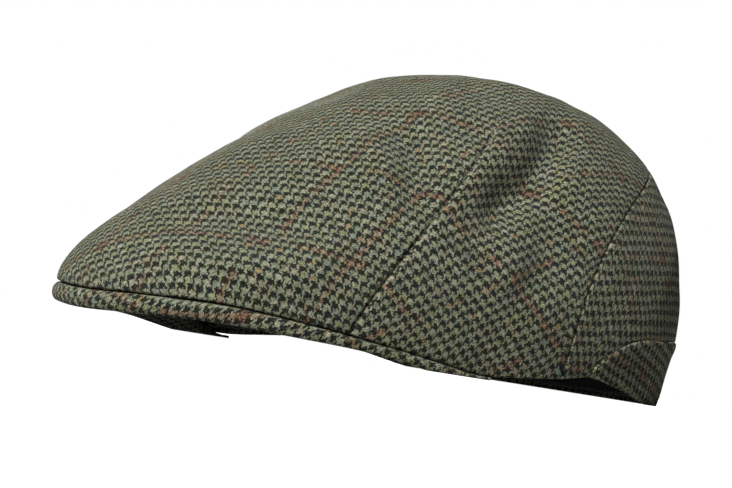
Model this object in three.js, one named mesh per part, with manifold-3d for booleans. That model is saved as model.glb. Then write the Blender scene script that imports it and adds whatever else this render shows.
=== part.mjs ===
// A flat cap in tweed: a one-piece crown with a back panel and a back band, a stiff covered peak
// under the crown's front edge, and a ribbed sweatband sewn inside the rim.
// Millimetres, +Z up, the peak towards -Y, the wearer's left towards +X.
// The cap lies on the plane z = 0 on its back rim and on the two ends of its peak at the sides.
//
// The crown is one surface, addressed by an azimuth in degrees (0 at the back, 90 at the wearer's
// left, 180 at the front) and by "up", which runs from 0 at the lower edge to 1 at the top.
import * as THREE from 'three';
import { mergeVertices } from 'three/addons/utils/BufferGeometryUtils.js';
import Module from 'manifold-3d';

const wasm = await Module();
wasm.setup();

// ---- Driving dimensions ----------------------------------------------------------------------
const CLOTH = 2.0; // tweed with its backing
const GAP = 0.3; // clearance between neighbouring pieces
const RIM = { halfWidth: 86, halfLength: 102, squareness: 2.15 };
const PEAK = {
  halfWidth: 82.5,
  centreY: -42, // where the outline is widest
  reach: 123, // from the widest line to the front
  endAzimuth: 112,
  innerThickness: 3.5,
  edgeInset: 1, // the crown's seam lies this far inside the peak's edge
  seamLand: 5, // level strip along the edge that the crown is sewn down on
};
const CROWN = { height: 117.5, tilt: 0.09 }; // the top falls by this much per mm towards the front
const BACK_SEAM = { halfSpan: 90.5, up: 0.58, roundness: 0.7 };
const BACK_BAND = { halfSpan: 82, up: 0.13, squareness: 8, tip: 0.004 };
const SWEATBAND = { thickness: 1.2, height: 31, above: 2.6, lean: 1.2 };

// Sections of the left half of the crown. "edge" is the height of the lower edge: the rim behind,
// the underside of the peak's edge in front. "rim" is the height of the head opening, and "lift" is
// the thickness of the peak's edge, which the crown is sewn on top of. From there the cloth leaves
// along (flare, rise), and it reaches the top along a level line "crest" long.
const SECTIONS = [
  { azimuth: 0, edge: -0.6, rim: -0.6, lift: 0, flare: 18, rise: 68, crest: 85 },
  { azimuth: 30, edge: -0.6, rim: -0.6, lift: 0, flare: 16.5, rise: 71.5, crest: 80 },
  { azimuth: 50, edge: -0.4, rim: -0.4, lift: 0, flare: 16, rise: 70, crest: 77 },
  { azimuth: 60, edge: 2, rim: 2, lift: 0, flare: 15.5, rise: 66, crest: 76 },
  { azimuth: 70, edge: 4.8, rim: 4.8, lift: 0, flare: 15.5, rise: 61, crest: 75 },
  { azimuth: 80, edge: 6.8, rim: 6.8, lift: 0, flare: 16, rise: 56, crest: 74.5 },
  { azimuth: 90, edge: 4.6, rim: 4.6, lift: 0, flare: 16, rise: 54.5, crest: 74 },
  { azimuth: 103, edge: 2.4, rim: 2.4, lift: 0, flare: 15, rise: 50.5, crest: 72.5 },
  { azimuth: 115, edge: -0.5, rim: 1.6, lift: 1.9, flare: 14, rise: 45.5, crest: 71 },
  { azimuth: 125, edge: -0.5, rim: 3.6, lift: 4.1, flare: 13, rise: 40, crest: 72 },
  { azimuth: 140, edge: 3.2, rim: 6.5, lift: 4.3, flare: 11, rise: 30, crest: 72 },
  { azimuth: 150, edge: 4.3, rim: 8, lift: 5.9, flare: 8.5, rise: 22.5, crest: 64.5 },
  { azimuth: 160, edge: 5.2, rim: 9, lift: 6.8, flare: 6.5, rise: 18, crest: 56 },
  { azimuth: 170, edge: 4.2, rim: 9, lift: 7.2, flare: 5.5, rise: 18.5, crest: 51 },
  { azimuth: 180, edge: 3, rim: 9, lift: 7.4, flare: 5, rise: 20.5, crest: 49 },
];

// Folds of the cloth, each along a curve through three places given as [azimuth, up].
// Azimuths over 180 are on the wearer's right. A negative depth is a ridge.
const FOLDS = [
  { name: 'side valley', start: [120, 0.37], middle: [104, 0.52], end: [82, 0.7], width: 6.5, depth: 9 },
  { name: 'side brow', start: [129, 0.43], middle: [114, 0.575], end: [93, 0.73], width: 7, depth: -3.4 },
  { name: 'side hollow', start: [102, 0.46], middle: [100, 0.33], end: [107, 0.18], width: 7, depth: 3.4 },
  { name: 'side swell', start: [114, 0.35], middle: [113, 0.27], end: [116, 0.16], width: 6, depth: -2 },
  { name: 'front valley', start: [148, 0.66], middle: [139, 0.55], end: [135, 0.38], width: 5.5, depth: 4.2 },
  { name: 'front brow', start: [153, 0.62], middle: [146, 0.5], end: [142, 0.36], width: 6, depth: -2 },
  { name: 'front ridge', start: [158, 0.66], middle: [161, 0.54], end: [168, 0.42], width: 7, depth: -1 },
  { name: 'front dent', start: [179, 0.28], middle: [165, 0.33], end: [148, 0.33], width: 8, depth: 4 },
  { name: 'edge ridge', start: [170, 0.13], middle: [157, 0.17], end: [146, 0.2], width: 7, depth: -2.6 },
  { name: 'right valley', start: [234, 0.42], middle: [258, 0.55], end: [292, 0.68], width: 7, depth: 4.5 },
  { name: 'right dent', start: [200, 0.56], middle: [212, 0.5], end: [222, 0.36], width: 15, depth: 0.8 },
  { name: 'right ridge', start: [198, 0.2], middle: [210, 0.24], end: [220, 0.34], width: 7, depth: -2 },
];

// ---- Outlines and heights --------------------------------------------------------------------
const radians = THREE.MathUtils.degToRad;
const fromBack = (azimuth) => Math.abs(THREE.MathUtils.euclideanModulo(azimuth + 180, 360) - 180);

// A column of SECTIONS at any azimuth: a smooth curve through the rows, mirrored past both ends.
function section(azimuth, column) {
  const at = fromBack(azimuth);
  const last = SECTIONS.length - 1;
  const row = (i) => {
    if (i < 0) return { x: -SECTIONS[-i].azimuth, y: SECTIONS[-i][column] };
    if (i > last) return { x: 360 - SECTIONS[2 * last - i].azimuth, y: SECTIONS[2 * last - i][column] };
    return { x: SECTIONS[i].azimuth, y: SECTIONS[i][column] };
  };
  let i = 0;
  while (i < last - 1 && at > SECTIONS[i + 1].azimuth) i += 1;
  const [a, b, c, d] = [row(i - 1), row(i), row(i + 1), row(i + 2)];
  const span = c.x - b.x;
  const t = (at - b.x) / span;
  const slopeB = ((c.y - a.y) / (c.x - a.x)) * span;
  const slopeC = ((d.y - b.y) / (d.x - b.x)) * span;
  const t2 = t * t;
  const t3 = t2 * t;
  return (2 * t3 - 3 * t2 + 1) * b.y + (t3 - 2 * t2 + t) * slopeB
    + (3 * t2 - 2 * t3) * c.y + (t3 - t2) * slopeC;
}

// Radius of the head opening's outer edge, a squarish ellipse.
function rimRadius(azimuth) {
  const n = RIM.squareness;
  const across = Math.abs(Math.sin(radians(azimuth))) / RIM.halfWidth;
  const along = Math.abs(Math.cos(radians(azimuth))) / RIM.halfLength;
  return (across ** n + along ** n) ** (-1 / n);
}

// Radius of the peak's outline, an ellipse whose centre lies in front of the head opening's.
function peakRadius(azimuth) {
  const s = Math.sin(radians(azimuth));
  const c = Math.cos(radians(azimuth));
  const a = (s / PEAK.halfWidth) ** 2 + (c / PEAK.reach) ** 2;
  const b = (-2 * c * PEAK.centreY) / PEAK.reach ** 2;
  const k = (PEAK.centreY / PEAK.reach) ** 2 - 1;
  return (-b + Math.sqrt(b * b - 4 * a * k)) / (2 * a);
}

// How far the peak lifts the crown's edge: nothing behind, the peak's thickness in front.
const edgeLift = (azimuth) => Math.max(section(azimuth, 'lift'), 0);

// The larger of two radii, rounded over where they meet.
const rounded = (a, b) => (a + b + Math.hypot(a - b, 3)) / 2;

// Lower edge of the crown: the rim behind, just inside the peak's outline in front.
function edgeRadius(azimuth) {
  return rounded(rimRadius(azimuth), peakRadius(azimuth) - PEAK.edgeInset) - 0.35;
}

// ---- The crown's surface ---------------------------------------------------------------------
// Without folds: a cubic curve from the edge to the top at each azimuth.
function smoothPoint(azimuth, up) {
  const s = Math.sin(radians(azimuth));
  const c = Math.cos(radians(azimuth));
  const radius = edgeRadius(azimuth);
  const height = section(azimuth, 'edge') + edgeLift(azimuth);
  const crest = section(azimuth, 'crest');
  const down = 1 - up;
  const w = [down ** 3, 3 * up * down ** 2, 3 * up ** 2 * down, up ** 3];
  const r = w[0] * radius + w[1] * (radius + section(azimuth, 'flare')) + w[2] * crest;
  const z = w[0] * height + w[1] * (height + section(azimuth, 'rise'))
    + w[2] * (CROWN.height + CROWN.tilt * crest * c) + w[3] * CROWN.height;
  return new THREE.Vector3(r * s, r * c, z);
}

// Outward direction of a surface given as a function of azimuth and up.
function outward(surface, azimuth, up) {
  if (up > 0.995) return new THREE.Vector3(0, -CROWN.tilt, 1).normalize();
  const low = Math.max(up - 0.004, 0);
  const along = surface(azimuth, low + 0.008).sub(surface(azimuth, low));
  const around = surface(azimuth + 0.4, up).sub(surface(azimuth - 0.4, up));
  return along.cross(around).normalize();
}

const foldLines = FOLDS.map((fold) => {
  const line = [];
  for (let i = 0; i <= 16; i += 1) {
    const t = i / 16;
    const mix = (k) => (1 - t) ** 2 * fold.start[k] + t ** 2 * fold.end[k]
      + 2 * t * (1 - t) * (2 * fold.middle[k] - (fold.start[k] + fold.end[k]) / 2);
    line.push(smoothPoint(mix(0), mix(1)));
  }
  return line;
});

// Depth of all folds at a place: each is a smooth trough that fades out along its own ends.
function foldDepth(point) {
  let depth = 0;
  FOLDS.forEach((fold, i) => {
    let nearest = Infinity;
    let along = 0;
    const line = foldLines[i];
    for (let k = 1; k < line.length; k += 1) {
      const step = line[k].clone().sub(line[k - 1]);
      const offset = point.clone().sub(line[k - 1]);
      const t = THREE.MathUtils.clamp(offset.dot(step) / step.lengthSq(), 0, 1);
      const distance = offset.addScaledVector(step, -t).length();
      if (distance < nearest) {
        nearest = distance;
        along = (k - 1 + t) / (line.length - 1);
      }
    }
    const fade = Math.sqrt(Math.sin(Math.PI * THREE.MathUtils.clamp(along, 0.02, 0.98)));
    depth += fold.depth * fade * Math.exp(-((nearest / fold.width) ** 2) / 2);
  });
  return depth;
}

// With folds, which leave the seams at the lower edge alone.
function clothPoint(azimuth, up) {
  const point = smoothPoint(azimuth, up);
  const hold = THREE.MathUtils.smoothstep(up, 0.04, 0.16);
  return point.addScaledVector(outward(smoothPoint, azimuth, up), -hold * foldDepth(point));
}

function innerPoint(azimuth, up) {
  return clothPoint(azimuth, up).addScaledVector(outward(clothPoint, azimuth, up), -CLOTH);
}

// ---- Seams -----------------------------------------------------------------------------------
// Stations of the back seam, an arch from rim to rim, shared by the pieces on both its sides.
const SEAM_STEPS = 38;
const seamStations = [];
for (let i = 0; i <= SEAM_STEPS; i += 1) {
  const t = (2 * i) / SEAM_STEPS - 1;
  const turn = radians(90 * Math.sign(t) * (1 - (1 - Math.abs(t)) ** 1.25));
  seamStations.push({
    azimuth: BACK_SEAM.halfSpan * Math.sin(turn),
    up: BACK_SEAM.up * Math.max(Math.cos(turn), 0) ** BACK_SEAM.roundness,
  });
}

// Upper edge of the back band.
const bandUp = (azimuth) => BACK_BAND.up
  * Math.max(1 - (fromBack(azimuth) / BACK_BAND.halfSpan) ** BACK_BAND.squareness, 0);

// A station moved across the seam by a distance in the surface: outward for the crown.
function acrossSeam(i, distance) {
  const here = seamStations[i];
  const before = seamStations[Math.max(i - 1, 0)];
  const after = seamStations[Math.min(i + 1, SEAM_STEPS)];
  const turn = smoothPoint(here.azimuth + 0.5, here.up).sub(smoothPoint(here.azimuth - 0.5, here.up));
  const climb = smoothPoint(here.azimuth, here.up + 0.005).sub(
    smoothPoint(here.azimuth, Math.max(here.up - 0.005, 0)));
  climb.divideScalar(here.up < 0.005 ? 0.5 : 1);
  const run = smoothPoint(after.azimuth, after.up).sub(smoothPoint(before.azimuth, before.up));
  const side = run.cross(outward(smoothPoint, here.azimuth, here.up)).normalize();
  if (side.dot(climb) < 0) side.negate();
  return {
    azimuth: here.azimuth + (distance * side.dot(turn)) / turn.lengthSq(),
    up: Math.max(here.up + (distance * side.dot(climb) * 0.01) / climb.lengthSq(), 0),
  };
}

// ---- Solids from grids of points --------------------------------------------------------------
function solid(positions, faces) {
  const geometry = new THREE.BufferGeometry();
  const numbers = positions.flatMap((p) => p.toArray());
  geometry.setAttribute('position', new THREE.Float32BufferAttribute(numbers, 3));
  geometry.setIndex(faces);
  return geometry;
}

// A cloth wall over columns of [azimuth, up] places, from the lower edge to the upper one.
// A ring of columns closes on itself, and its last row is one point at the top of the crown.
function clothWall(columns, isRing) {
  const positions = [];
  const faces = [];
  const rows = columns[0].length;
  const count = columns.length;
  const sides = [clothPoint, innerPoint].map((surface) => columns.map((column) => column.map((place, j) => {
    if (isRing && j === rows - 1) return -1;
    positions.push(surface(place.azimuth, place.up));
    return positions.length - 1;
  })));
  if (isRing) {
    [clothPoint, innerPoint].forEach((surface, k) => {
      positions.push(surface(0, 1));
      sides[k].forEach((column) => { column[rows - 1] = positions.length - 1; });
    });
  }
  const quad = (a, b, c, d) => {
    if (a !== b && b !== c && c !== a) faces.push(a, b, c);
    if (a !== c && c !== d && d !== a) faces.push(a, c, d);
  };
  const [outer, inner] = sides;
  const last = isRing ? count : count - 1;
  // The crown's squares are split along the way that its folds run, up and back on both sides.
  const leansBack = (column, j) => isRing && Math.sin(radians(column[j].azimuth)) > 0
    && (column[0].up === 0 || column[j].up > 0.5);
  const split = (a, b, c, d, isTurned) => {
    if (isTurned) quad(b, c, d, a);
    else quad(a, b, c, d);
  };
  for (let i = 0; i < last; i += 1) {
    const n = (i + 1) % count;
    for (let j = 0; j < rows - 1; j += 1) {
      const isTurned = leansBack(columns[i], j);
      split(outer[i][j], outer[i][j + 1], outer[n][j + 1], outer[n][j], isTurned);
      split(inner[i][j], inner[n][j], inner[n][j + 1], inner[i][j + 1], isTurned);
    }
    quad(outer[i][0], outer[n][0], inner[n][0], inner[i][0]);
    if (!isRing) quad(outer[n][rows - 1], outer[i][rows - 1], inner[i][rows - 1], inner[n][rows - 1]);
  }
  if (!isRing) {
    for (let j = 0; j < rows - 1; j += 1) {
      quad(outer[0][j + 1], outer[0][j], inner[0][j], inner[0][j + 1]);
      quad(outer[last][j], outer[last][j + 1], inner[last][j + 1], inner[last][j]);
    }
  }
  return solid(positions, faces);
}

// A bar swept through loops of points; open bars get flat ends.
function sweptBar(loops, isRing) {
  const size = loops[0].length;
  const positions = loops.flat();
  const faces = [];
  const last = isRing ? loops.length : loops.length - 1;
  for (let i = 0; i < last; i += 1) {
    const a = i * size;
    const b = ((i + 1) % loops.length) * size;
    for (let j = 0; j < size; j += 1) {
      const k = (j + 1) % size;
      faces.push(a + j, b + j, b + k, a + j, b + k, a + k);
    }
  }
  if (!isRing) {
    const end = (loops.length - 1) * size;
    for (let j = 1; j < size - 1; j += 1) {
      faces.push(0, j, j + 1);
      faces.push(end, end + j + 1, end + j);
    }
  }
  return solid(positions, faces);
}

function toManifold(geometry) {
  geometry.deleteAttribute('normal');
  geometry.deleteAttribute('uv');
  const merged = mergeVertices(geometry, 1e-5);
  return new wasm.Manifold(new wasm.Mesh({
    numProp: 3,
    vertProperties: new Float32Array(merged.attributes.position.array),
    triVerts: new Uint32Array(merged.index.array),
  }));
}

// The cloth is pressed flat where it lies on the plane z = 0.
function flattenedBelow(geometry) {
  const ground = new THREE.BoxGeometry(600, 600, 40);
  ground.translate(0, 0, -20);
  const mesh = toManifold(geometry).subtract(toManifold(ground)).getMesh();
  const flat = new THREE.BufferGeometry();
  flat.setAttribute('position', new THREE.Float32BufferAttribute(mesh.vertProperties, 3));
  flat.setIndex(Array.from(mesh.triVerts));
  return flat;
}

// ---- The pieces ------------------------------------------------------------------------------
const TWEED = { color: 0x5f6350, roughness: 0.95, metalness: 0 };
const materials = {
  tweed: new THREE.MeshStandardMaterial({ name: 'tweed', ...TWEED }),
  ribbon: new THREE.MeshStandardMaterial({ name: 'ribbon', color: 0x14170f, roughness: 0.8, metalness: 0 }),
};

function piece(name, geometry, material) {
  const flat = geometry.toNonIndexed();
  flat.computeVertexNormals();
  const mesh = new THREE.Mesh(flat, material);
  mesh.name = name;
  return mesh;
}

// Crown: behind it starts above the back seam, in front at its lower edge, and it closes at the top.
// The columns crowd together at the seam's feet and spread out evenly on their way up.
function crown() {
  const rows = 17;
  const frontSteps = { left: 27, right: 17 }; // the left side has the deeper folds
  const starts = seamStations.map((station, i) => ({
    ...acrossSeam(i, GAP / 2),
    even: BACK_SEAM.halfSpan * ((2 * i) / SEAM_STEPS - 1),
  }));
  const from = starts[SEAM_STEPS].azimuth;
  for (let i = 1; i < frontSteps.left + frontSteps.right; i += 1) {
    const share = i < frontSteps.left ? i / frontSteps.left - 1 : (i - frontSteps.left) / frontSteps.right;
    const azimuth = 180 + share * (180 - from);
    starts.push({ azimuth, up: 0, even: azimuth });
  }
  const columns = starts.map((start) => Array.from({ length: rows + 1 }, (_, j) => ({
    azimuth: THREE.MathUtils.lerp(start.azimuth, start.even, THREE.MathUtils.smoothstep(j / rows, 0, 0.6)),
    up: start.up + (1 - start.up) * (j / rows) ** 1.08,
  })));
  return clothWall(columns, true);
}

// The line where the back panel meets the back band, at each station of the back seam.
const lowLine = seamStations.map((station) => bandUp(station.azimuth));
const bandFirst = lowLine.findIndex((up) => up > 0) - 1;
const bandLast = SEAM_STEPS - bandFirst;
lowLine[bandFirst] = BACK_BAND.tip;
lowLine[bandLast] = BACK_BAND.tip;

// Back panel: between the back seam and the back band, or the rim beside the band.
function backPanel() {
  const rows = 7;
  const columns = [];
  for (let i = 2; i <= SEAM_STEPS - 2; i += 1) {
    const top = acrossSeam(i, -GAP / 2);
    const foot = seamStations[i].azimuth;
    const low = lowLine[i] > 0 ? lowLine[i] + 0.003 : 0;
    columns.push(Array.from({ length: rows + 1 }, (_, j) => ({
      azimuth: foot + (top.azimuth - foot) * (j / rows),
      up: low + (top.up - low) * (j / rows),
    })));
  }
  return clothWall(columns, false);
}

// Back band: a low strip round the back of the rim that thins out to a tip at each side.
function backBand() {
  const rows = 3;
  const columns = [];
  for (let i = bandFirst; i <= bandLast; i += 1) {
    columns.push(Array.from({ length: rows + 1 }, (_, j) => ({
      azimuth: seamStations[i].azimuth,
      up: (lowLine[i] * j) / rows,
    })));
  }
  return clothWall(columns, false);
}

// Peak: a curved board covered in cloth, with a round outer edge, thinning towards the rim and ends.
function peak() {
  const steps = 44;
  const reachSteps = 5;
  const first = PEAK.endAzimuth;
  const loops = [];
  for (let i = 0; i <= steps; i += 1) {
    const azimuth = first + (i * (360 - 2 * first)) / steps;
    const direction = new THREE.Vector2(Math.sin(radians(azimuth)), Math.cos(radians(azimuth)));
    const inner = rimRadius(azimuth) - 2.3;
    const outer = rounded(rimRadius(azimuth), peakRadius(azimuth));
    const edge = edgeLift(azimuth) - GAP;
    const round = Math.min(edge / 2, 2.6);
    const floorZ = section(azimuth, 'edge');
    const width = outer - inner;
    const climb = THREE.MathUtils.smoothstep(width, 5, 18);
    const rimZ = THREE.MathUtils.lerp(floorZ, section(azimuth, 'rim'), climb);
    const innerThick = THREE.MathUtils.lerp(edge, Math.min(PEAK.innerThickness, edge), climb);
    const at = (t, side) => {
      const r = THREE.MathUtils.lerp(inner, outer - round, t);
      const level = THREE.MathUtils.clamp((r - inner) / Math.max(width - PEAK.seamLand, 1), 0, 1);
      const thick = THREE.MathUtils.lerp(innerThick, edge, level);
      const low = THREE.MathUtils.lerp(rimZ, floorZ, level);
      return new THREE.Vector3(r * direction.x, r * direction.y, low + (side > 0 ? thick : 0));
    };
    const loop = [];
    for (let j = 0; j <= reachSteps; j += 1) loop.push(at(j / reachSteps, -1));
    for (let j = 1; j < 6; j += 1) {
      const turn = radians(-90 + j * 30);
      const r = outer - round + round * Math.cos(turn);
      loop.push(new THREE.Vector3(
        r * direction.x, r * direction.y, floorZ + (edge / 2) * (1 + Math.sin(turn))));
    }
    for (let j = reachSteps; j >= 0; j -= 1) loop.push(at(j / reachSteps, 1));
    loops.push(loop.reverse());
  }
  return sweptBar(loops, false);
}

// Sweatband: a ribbon ring just inside the rim, standing up into the crown.
function sweatband() {
  const steps = 72;
  const levels = 3;
  const loops = [];
  for (let i = 0; i < steps; i += 1) {
    const azimuth = (i * 360) / steps;
    const outer = rimRadius(azimuth) - 0.35 - CLOTH - GAP;
    const low = section(azimuth, 'rim') + SWEATBAND.above;
    const at = (t, inset) => {
      const r = outer - inset + SWEATBAND.lean * t;
      return new THREE.Vector3(
        r * Math.sin(radians(azimuth)), r * Math.cos(radians(azimuth)), low + SWEATBAND.height * t);
    };
    const loop = [];
    for (let j = 0; j <= levels; j += 1) loop.push(at(j / levels, 0));
    for (let j = levels; j >= 0; j -= 1) loop.push(at(j / levels, SWEATBAND.thickness));
    loops.push(loop.reverse());
  }
  return sweptBar(loops, true);
}

const cap = new THREE.Group();
cap.name = 'flat_cap';
cap.add(piece('crown', flattenedBelow(crown()), materials.tweed));
cap.add(piece('back_panel', backPanel(), materials.tweed));
cap.add(piece('back_band', flattenedBelow(backBand()), materials.tweed));
cap.add(piece('peak', flattenedBelow(peak()), materials.tweed));
cap.add(piece('sweatband', sweatband(), materials.ribbon));

// The origin is the middle of the plane that the cap lies on, under the centre of its outline.
const size = new THREE.Box3().setFromObject(cap);
cap.position.set(-(size.min.x + size.max.x) / 2, -(size.min.y + size.max.y) / 2, 0);

export default cap;
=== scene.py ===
"""A flat cap in houndstooth tweed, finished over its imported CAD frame.

Work is in millimetres with the centre of the head opening above the origin, +Z up, the peak
towards -Y and the wearer's left towards +X. Every piece is moved to the frame and scaled to
metres as its mesh is made.

The crown, the back panel and the back band lie on one surface. A place on it is an azimuth in
degrees (0 at the back, 90 at the wearer's left, 180 at the front) and "up", from 0 at the lower
edge to 1 at the top.
"""
import math

import bpy
import numpy as np
from mathutils import Matrix, Vector
from mathutils.kdtree import KDTree


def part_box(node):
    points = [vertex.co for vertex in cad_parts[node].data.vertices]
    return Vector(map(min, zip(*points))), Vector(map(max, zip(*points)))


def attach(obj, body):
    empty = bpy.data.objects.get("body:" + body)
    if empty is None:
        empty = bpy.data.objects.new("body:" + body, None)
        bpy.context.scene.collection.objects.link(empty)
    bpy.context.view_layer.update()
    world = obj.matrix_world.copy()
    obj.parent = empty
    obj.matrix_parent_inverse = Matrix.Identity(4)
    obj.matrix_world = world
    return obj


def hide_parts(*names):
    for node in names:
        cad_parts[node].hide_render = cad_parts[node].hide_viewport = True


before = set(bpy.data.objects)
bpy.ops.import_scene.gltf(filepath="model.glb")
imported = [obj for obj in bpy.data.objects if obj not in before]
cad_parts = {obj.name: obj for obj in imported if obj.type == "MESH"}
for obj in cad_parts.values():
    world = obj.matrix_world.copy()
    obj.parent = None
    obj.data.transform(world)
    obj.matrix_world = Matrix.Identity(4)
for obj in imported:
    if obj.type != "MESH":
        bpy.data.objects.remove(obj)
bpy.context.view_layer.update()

# ---- Named sizes, as in the CAD ----
CLOTH = 2.0
RIM_HALF_WIDTH = 86.0
RIM_HALF_LENGTH = 102.0
RIM_SQUARENESS = 2.15
PEAK_HALF_WIDTH = 82.5
PEAK_CENTRE_Y = -42.0  # where the outline is widest
PEAK_REACH = 123.0  # from the widest line to the front
PEAK_END_AZIMUTH = 112.0
PEAK_INNER_THICKNESS = 3.5
PEAK_EDGE_INSET = 1.0
PEAK_SEAM_LAND = 5.0
GAP = 0.3
CROWN_HEIGHT = 117.5
CROWN_TILT = 0.09  # the top falls by this much per mm towards the front
SEAM_HALF_SPAN = 90.5
SEAM_UP = 0.58
SEAM_ROUNDNESS = 0.7
BAND_HALF_SPAN = 82.0
BAND_UP = 0.13
BAND_SQUARENESS = 8.0
SWEATBAND_THICKNESS = 1.2
SWEATBAND_HEIGHT = 31.0
SWEATBAND_ABOVE = 2.6
SWEATBAND_LEAN = 1.2
EDGE_INSET = 0.35  # the turned edge of the crown stands this far inside the rim's outline

# Sections of the left half of the crown.
SECTION_COLUMNS = ("azimuth", "edge", "rim", "lift", "flare", "rise", "crest")
SECTIONS = np.array((
    (0, -0.6, -0.6, 0, 18, 68, 85),
    (30, -0.6, -0.6, 0, 16.5, 71.5, 80),
    (50, -0.4, -0.4, 0, 16, 70, 77),
    (60, 2, 2, 0, 15.5, 66, 76),
    (70, 4.8, 4.8, 0, 15.5, 61, 75),
    (80, 6.8, 6.8, 0, 16, 56, 74.5),
    (90, 4.6, 4.6, 0, 16, 54.5, 74),
    (103, 2.4, 2.4, 0, 15, 50.5, 72.5),
    (115, -0.5, 1.6, 1.9, 14, 45.5, 71),
    (125, -0.5, 3.6, 4.1, 13, 40, 72),
    (140, 3.2, 6.5, 4.3, 11, 30, 72),
    (150, 4.3, 8, 5.9, 8.5, 22.5, 64.5),
    (160, 5.2, 9, 6.8, 6.5, 18, 56),
    (170, 4.2, 9, 7.2, 5.5, 18.5, 51),
    (180, 3, 9, 7.4, 5, 20.5, 49),
), float)

# Folds: start azimuth and up, middle azimuth and up, end azimuth and up, width, depth.
FOLDS = {
    "side valley": (120, 0.37, 104, 0.52, 82, 0.70, 6.5, 9),
    "side brow": (129, 0.43, 114, 0.575, 93, 0.73, 7, -3.4),
    "side hollow": (102, 0.46, 100, 0.33, 107, 0.18, 7, 3.4),
    "side swell": (114, 0.35, 113, 0.27, 116, 0.16, 6, -2),
    "front valley": (148, 0.66, 139, 0.55, 135, 0.38, 5.5, 4.2),
    "front brow": (153, 0.62, 146, 0.50, 142, 0.36, 6, -2),
    "front ridge": (158, 0.66, 161, 0.54, 168, 0.42, 7, -1),
    "front dent": (179, 0.28, 165, 0.33, 148, 0.33, 8, 4),
    "edge ridge": (170, 0.13, 157, 0.17, 146, 0.20, 7, -2.6),
    "right valley": (234, 0.42, 258, 0.55, 292, 0.68, 7, 4.5),
    "right dent": (200, 0.56, 212, 0.50, 222, 0.36, 15, 0.8),
    "right ridge": (198, 0.20, 210, 0.24, 220, 0.34, 7, -2),
}

# The two darts run up from the lower edge at this azimuth and lean back as they rise.
DART_FOOT = 142.5
DART_TOP = 0.68
DART_LEAN = 13.0  # degrees per unit of up
DART_BEND = 45.0  # degrees per unit of up squared
DART_REACH = 62.0  # columns this far from a dart in degrees still lean with it

# The cloth: a houndstooth check, four light and four dark threads both ways in one repeat.
WARP_REPEAT = 3.35
WARP_TURN = 157.0  # degrees from the cloth's x to the way the warp threads are counted
WEFT_REPEAT = 3.95
WEFT_TURN = 88.0
THREADS = 8  # in one repeat
WARP_CHECK = 9  # repeats from one coloured line to the next
WEFT_CHECK = 11
SIDE_PULL = -14.0  # degrees that the cloth beside a dart lies askew
RIB = 0.9  # ribs of the sweatband's ribbon

CROWN_CUT = (32.0, (-21.2, 21.8))
PANEL_CUT = (18.0, (-8.1, -21.2))
BAND_CUT = (8.0, (-20.5, -34.7))
PEAK_CUT = (42.5, (-10.4, -76.0))

# Stitches: length, gap between them and radius.
SWEATBAND_STITCH = (2.6, 0.9, 0.28)
DART_STITCH = (1.5, 3.4, 0.3)
SEAM_STITCH = (0.9, 3.6, 0.25)

# The camera, as angles in degrees and metres, with its lens in mm on a sensor 36 mm wide.
CAMERA_AZIMUTH = 49.5
CAMERA_DISTANCE = 1.4
CAMERA_HEIGHT = 0.003
CAMERA_ROLL = 9.0
TARGET_HEIGHT = 0.06
LENS = 173.508
SENSOR = 36.0
TARGET_RIGHT = 0.020408  # how far the target stands off the picture's middle, over its distance
TARGET_ABOVE = 0.007171


# ---- Outlines and heights ----
def from_back(azimuth):
    return np.abs((np.asarray(azimuth, float) + 180) % 360 - 180)


def smoothstep(x, low, high):
    t = np.clip((x - low) / (high - low), 0, 1)
    return t * t * (3 - 2 * t)


def section(azimuth, column):
    """A column of SECTIONS at any azimuth: a smooth curve through the rows, mirrored past the ends."""
    knots = SECTIONS[:, 0]
    values = SECTIONS[:, SECTION_COLUMNS.index(column)]
    knots = np.concatenate([-knots[1:2], knots, 360 - knots[-2:-1]])
    values = np.concatenate([values[1:2], values, values[-2:-1]])
    slopes = (values[2:] - values[:-2]) / (knots[2:] - knots[:-2])
    at = from_back(azimuth)
    i = np.clip(np.searchsorted(knots, at) - 1, 1, len(knots) - 3)
    span = knots[i + 1] - knots[i]
    t = (at - knots[i]) / span
    t2 = t * t
    t3 = t2 * t
    return ((2 * t3 - 3 * t2 + 1) * values[i] + (t3 - 2 * t2 + t) * slopes[i - 1] * span
            + (3 * t2 - 2 * t3) * values[i + 1] + (t3 - t2) * slopes[i] * span)


def rim_radius(azimuth):
    turn = np.radians(azimuth)
    across = np.abs(np.sin(turn)) / RIM_HALF_WIDTH
    along = np.abs(np.cos(turn)) / RIM_HALF_LENGTH
    return (across ** RIM_SQUARENESS + along ** RIM_SQUARENESS) ** (-1 / RIM_SQUARENESS)


def peak_radius(azimuth):
    s = np.sin(np.radians(azimuth))
    c = np.cos(np.radians(azimuth))
    a = (s / PEAK_HALF_WIDTH) ** 2 + (c / PEAK_REACH) ** 2
    b = -2 * c * PEAK_CENTRE_Y / PEAK_REACH ** 2
    k = (PEAK_CENTRE_Y / PEAK_REACH) ** 2 - 1
    return (-b + np.sqrt(b * b - 4 * a * k)) / (2 * a)


def edge_lift(azimuth):
    """How far the peak lifts the crown's edge."""
    return np.maximum(section(azimuth, "lift"), 0)


def rounded(a, b):
    """The larger of two radii, rounded over where they meet."""
    return (a + b + np.hypot(a - b, 3)) / 2


def edge_radius(azimuth):
    """Lower edge of the crown: the rim behind, just inside the peak's outline in front."""
    return rounded(rim_radius(azimuth), peak_radius(azimuth) - PEAK_EDGE_INSET) - EDGE_INSET


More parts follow.
